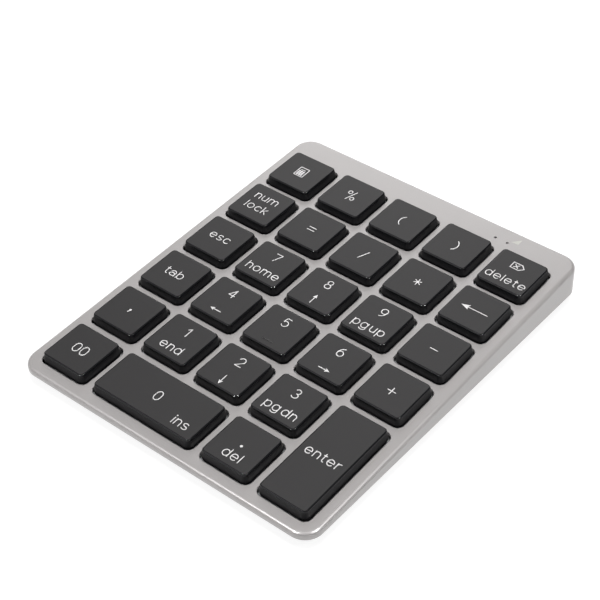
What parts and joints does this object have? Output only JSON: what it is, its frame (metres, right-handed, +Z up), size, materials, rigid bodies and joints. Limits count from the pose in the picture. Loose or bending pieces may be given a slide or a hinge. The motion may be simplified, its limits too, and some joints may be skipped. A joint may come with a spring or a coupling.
{
  "type": "numeric keypad",
  "caption": "Slim wedge-shaped numeric keypad with square travelling keys, double-length zero and enter keys, and a charging socket and slide switch on the back edge.",
  "frame": {"origin": "on the table, under the middle of the housing's plan, between the feet", "axes": "+X to the right as the user sees it, +Y from the user to the back edge, +Z up; the key deck slopes 3.35 degrees down to the front"},
  "size_m": [0.1006, 0.1258, 0.0143],
  "materials": {
    "silver_shell": "satin silver metallic paint over moulded plastic, fine sparkle",
    "key_black": "dark grey satin top with glossy near-black sides and round edges",
    "legend_white": "thin white printed legends",
    "tray_black": "fine spark-eroded matt texture",
    "plate_black": "black-coated rolled steel sheet",
    "membrane_film": "smoky polyester film with printed tracks",
    "dome_rubber": "translucent grey silicone",
    "foot_rubber": "matt soft rubber",
    "spring_steel": "bright drawn wire",
    "screw_steel": "zinc-plated steel",
    "board_green": "solder-masked glass fibre",
    "plastic_black": "moulded black nylon",
    "battery_foil": "laminated foil pouch",
    "lead_red": "soft insulation",
    "lead_black": "soft insulation",
    "socket_steel": "nickel-plated steel",
    "lamp_clear": "clear moulded plastic"
  },
  "bodies": {
    "housing": {"top_cover": "silver_shell", "support_plate": "plate_black", "membrane_circuit": "membrane_film", "dome_sheet": "dome_rubber", "membrane_tail": "membrane_film", "light_pipe_1": "lamp_clear", "light_pipe_2": "lamp_clear", "bottom_cover": "tray_black", "foot_front_left": "foot_rubber", "foot_front_right": "foot_rubber", "foot_back_left": "foot_rubber", "foot_back_right": "foot_rubber", "screw_1": "screw_steel", "screw_2": "screw_steel", "screw_3": "screw_steel", "screw_4": "screw_steel", "screw_5": "screw_steel", "screw_6": "screw_steel", "circuit_board": "board_green", "controller_chip": "plastic_black", "tail_connector": "plastic_black", "status_led_1": "lamp_clear", "status_led_2": "lamp_clear", "battery": "battery_foil", "battery_lead_red": "lead_red", "battery_lead_black": "lead_black", "usb_socket_shell": "socket_steel", "usb_socket_tongue": "plastic_black", "switch_body": "plastic_black"},
    "key_00": {"key_00": "key_black"},
    "key_0": {"key_0": "key_black"},
    "key_decimal": {"key_decimal": "key_black"},
    "key_enter": {"key_enter": "key_black"},
    "key_comma": {"key_comma": "key_black"},
    "key_1": {"key_1": "key_black"},
    "key_2": {"key_2": "key_black"},
    "key_3": {"key_3": "key_black"},
    "key_tab": {"key_tab": "key_black"},
    "key_4": {"key_4": "key_black"},
    "key_5": {"key_5": "key_black"},
    "key_6": {"key_6": "key_black"},
    "key_plus": {"key_plus": "key_black"},
    "key_escape": {"key_escape": "key_black"},
    "key_7": {"key_7": "key_black"},
    "key_8": {"key_8": "key_black"},
    "key_9": {"key_9": "key_black"},
    "key_minus": {"key_minus": "key_black"},
    "key_num_lock": {"key_num_lock": "key_black"},
    "key_equals": {"key_equals": "key_black"},
    "key_divide": {"key_divide": "key_black"},
    "key_multiply": {"key_multiply": "key_black"},
    "key_backspace": {"key_backspace": "key_black"},
    "key_calculator": {"key_calculator": "key_black"},
    "key_percent": {"key_percent": "key_black"},
    "key_bracket_open": {"key_bracket_open": "key_black"},
    "key_bracket_close": {"key_bracket_close": "key_black"},
    "key_delete": {"key_delete": "key_black"},
    "stabiliser_wire_0": {"stabiliser_wire_0": "spring_steel"},
    "stabiliser_wire_enter": {"stabiliser_wire_enter": "spring_steel"},
    "switch_slider": {"switch_slider": "plastic_black"}
  },
  "joints": [
    {"name": "key_00_press", "type": "slide", "parent": "housing", "child": "key_00", "axis": [0, 0.0584, -0.9983], "range_m": [0, 0.0015], "stiffness_N_per_m": 250, "springref_m": -0.001, "deforming": ["dome_sheet"]},
    {"name": "key_0_press", "type": "slide", "parent": "housing", "child": "key_0", "axis": [0, 0.0584, -0.9983], "range_m": [0, 0.0015], "stiffness_N_per_m": 250, "springref_m": -0.001, "deforming": ["dome_sheet"]},
    {"name": "key_decimal_press", "type": "slide", "parent": "housing", "child": "key_decimal", "axis": [0, 0.0584, -0.9983], "range_m": [0, 0.0015], "stiffness_N_per_m": 250, "springref_m": -0.001, "deforming": ["dome_sheet"]},
    {"name": "key_enter_press", "type": "slide", "parent": "housing", "child": "key_enter", "axis": [0, 0.0584, -0.9983], "range_m": [0, 0.0015], "stiffness_N_per_m": 250, "springref_m": -0.001, "deforming": ["dome_sheet"]},
    {"name": "key_comma_press", "type": "slide", "parent": "housing", "child": "key_comma", "axis": [0, 0.0584, -0.9983], "range_m": [0, 0.0015], "stiffness_N_per_m": 250, "springref_m": -0.001, "deforming": ["dome_sheet"]},
    {"name": "key_1_press", "type": "slide", "parent": "housing", "child": "key_1", "axis": [0, 0.0584, -0.9983], "range_m": [0, 0.0015], "stiffness_N_per_m": 250, "springref_m": -0.001, "deforming": ["dome_sheet"]},
    {"name": "key_2_press", "type": "slide", "parent": "housing", "child": "key_2", "axis": [0, 0.0584, -0.9983], "range_m": [0, 0.0015], "stiffness_N_per_m": 250, "springref_m": -0.001, "deforming": ["dome_sheet"]},
    {"name": "key_3_press", "type": "slide", "parent": "housing", "child": "key_3", "axis": [0, 0.0584, -0.9983], "range_m": [0, 0.0015], "stiffness_N_per_m": 250, "springref_m": -0.001, "deforming": ["dome_sheet"]},
    {"name": "key_tab_press", "type": "slide", "parent": "housing", "child": "key_tab", "axis": [0, 0.0584, -0.9983], "range_m": [0, 0.0015], "stiffness_N_per_m": 250, "springref_m": -0.001, "deforming": ["dome_sheet"]},
    {"name": "key_4_press", "type": "slide", "parent": "housing", "child": "key_4", "axis": [0, 0.0584, -0.9983], "range_m": [0, 0.0015], "stiffness_N_per_m": 250, "springref_m": -0.001, "deforming": ["dome_sheet"]},
    {"name": "key_5_press", "type": "slide", "parent": "housing", "child": "key_5", "axis": [0, 0.0584, -0.9983], "range_m": [0, 0.0015], "stiffness_N_per_m": 250, "springref_m": -0.001, "deforming": ["dome_sheet"]},
    {"name": "key_6_press", "type": "slide", "parent": "housing", "child": "key_6", "axis": [0, 0.0584, -0.9983], "range_m": [0, 0.0015], "stiffness_N_per_m": 250, "springref_m": -0.001, "deforming": ["dome_sheet"]},
    {"name": "key_plus_press", "type": "slide", "parent": "housing", "child": "key_plus", "axis": [0, 0.0584, -0.9983], "range_m": [0, 0.0015], "stiffness_N_per_m": 250, "springref_m": -0.001, "deforming": ["dome_sheet"]},
    {"name": "key_escape_press", "type": "slide", "parent": "housing", "child": "key_escape", "axis": [0, 0.0584, -0.9983], "range_m": [0, 0.0015], "stiffness_N_per_m": 250, "springref_m": -0.001, "deforming": ["dome_sheet"]},
    {"name": "key_7_press", "type": "slide", "parent": "housing", "child": "key_7", "axis": [0, 0.0584, -0.9983], "range_m": [0, 0.0015], "stiffness_N_per_m": 250, "springref_m": -0.001, "deforming": ["dome_sheet"]},
    {"name": "key_8_press", "type": "slide", "parent": "housing", "child": "key_8", "axis": [0, 0.0584, -0.9983], "range_m": [0, 0.0015], "stiffness_N_per_m": 250, "springref_m": -0.001, "deforming": ["dome_sheet"]},
    {"name": "key_9_press", "type": "slide", "parent": "housing", "child": "key_9", "axis": [0, 0.0584, -0.9983], "range_m": [0, 0.0015], "stiffness_N_per_m": 250, "springref_m": -0.001, "deforming": ["dome_sheet"]},
    {"name": "key_minus_press", "type": "slide", "parent": "housing", "child": "key_minus", "axis": [0, 0.0584, -0.9983], "range_m": [0, 0.0015], "stiffness_N_per_m": 250, "springref_m": -0.001, "deforming": ["dome_sheet"]},
    {"name": "key_num_lock_press", "type": "slide", "parent": "housing", "child": "key_num_lock", "axis": [0, 0.0584, -0.9983], "range_m": [0, 0.0015], "stiffness_N_per_m": 250, "springref_m": -0.001, "deforming": ["dome_sheet"]},
    {"name": "key_equals_press", "type": "slide", "parent": "housing", "child": "key_equals", "axis": [0, 0.0584, -0.9983], "range_m": [0, 0.0015], "stiffness_N_per_m": 250, "springref_m": -0.001, "deforming": ["dome_sheet"]},
    {"name": "key_divide_press", "type": "slide", "parent": "housing", "child": "key_divide", "axis": [0, 0.0584, -0.9983], "range_m": [0, 0.0015], "stiffness_N_per_m": 250, "springref_m": -0.001, "deforming": ["dome_sheet"]},
    {"name": "key_multiply_press", "type": "slide", "parent": "housing", "child": "key_multiply", "axis": [0, 0.0584, -0.9983], "range_m": [0, 0.0015], "stiffness_N_per_m": 250, "springref_m": -0.001, "deforming": ["dome_sheet"]},
    {"name": "key_backspace_press", "type": "slide", "parent": "housing", "child": "key_backspace", "axis": [0, 0.0584, -0.9983], "range_m": [0, 0.0015], "stiffness_N_per_m": 250, "springref_m": -0.001, "deforming": ["dome_sheet"]},
    {"name": "key_calculator_press", "type": "slide", "parent": "housing", "child": "key_calculator", "axis": [0, 0.0584, -0.9983], "range_m": [0, 0.0015], "stiffness_N_per_m": 250, "springref_m": -0.001, "deforming": ["dome_sheet"]},
    {"name": "key_percent_press", "type": "slide", "parent": "housing", "child": "key_percent", "axis": [0, 0.0584, -0.9983], "range_m": [0, 0.0015], "stiffness_N_per_m": 250, "springref_m": -0.001, "deforming": ["dome_sheet"]},
    {"name": "key_bracket_open_press", "type": "slide", "parent": "housing", "child": "key_bracket_open", "axis": [0, 0.0584, -0.9983], "range_m": [0, 0.0015], "stiffness_N_per_m": 250, "springref_m": -0.001, "deforming": ["dome_sheet"]},
    {"name": "key_bracket_close_press", "type": "slide", "parent": "housing", "child": "key_bracket_close", "axis": [0, 0.0584, -0.9983], "range_m": [0, 0.0015], "stiffness_N_per_m": 250, "springref_m": -0.001, "deforming": ["dome_sheet"]},
    {"name": "key_delete_press", "type": "slide", "parent": "housing", "child": "key_delete", "axis": [0, 0.0584, -0.9983], "range_m": [0, 0.0015], "stiffness_N_per_m": 250, "springref_m": -0.001, "deforming": ["dome_sheet"]},
    {"name": "stabiliser_0_swing", "type": "hinge", "parent": "housing", "child": "stabiliser_wire_0", "pos_m": [-0.00953, -0.05098, 0.00398], "axis": [1, 0, 0], "range_deg": [0, 17.5]},
    {"name": "stabiliser_enter_swing", "type": "hinge", "parent": "housing", "child": "stabiliser_wire_enter", "pos_m": [0.03767, -0.04104, 0.00456], "axis": [0, -0.9983, -0.0584], "range_deg": [0, 17.5]},
    {"name": "power_switch_slide", "type": "slide", "parent": "housing", "child": "switch_slider", "axis": [1, 0, 0], "range_m": [0, 0.002]}
  ],
  "couplings": [
    {"joint": "stabiliser_0_swing", "follows": "key_0_press", "rad_per_m": 203.1},
    {"joint": "stabiliser_enter_swing", "follows": "key_enter_press", "rad_per_m": 203.1}
  ]
}
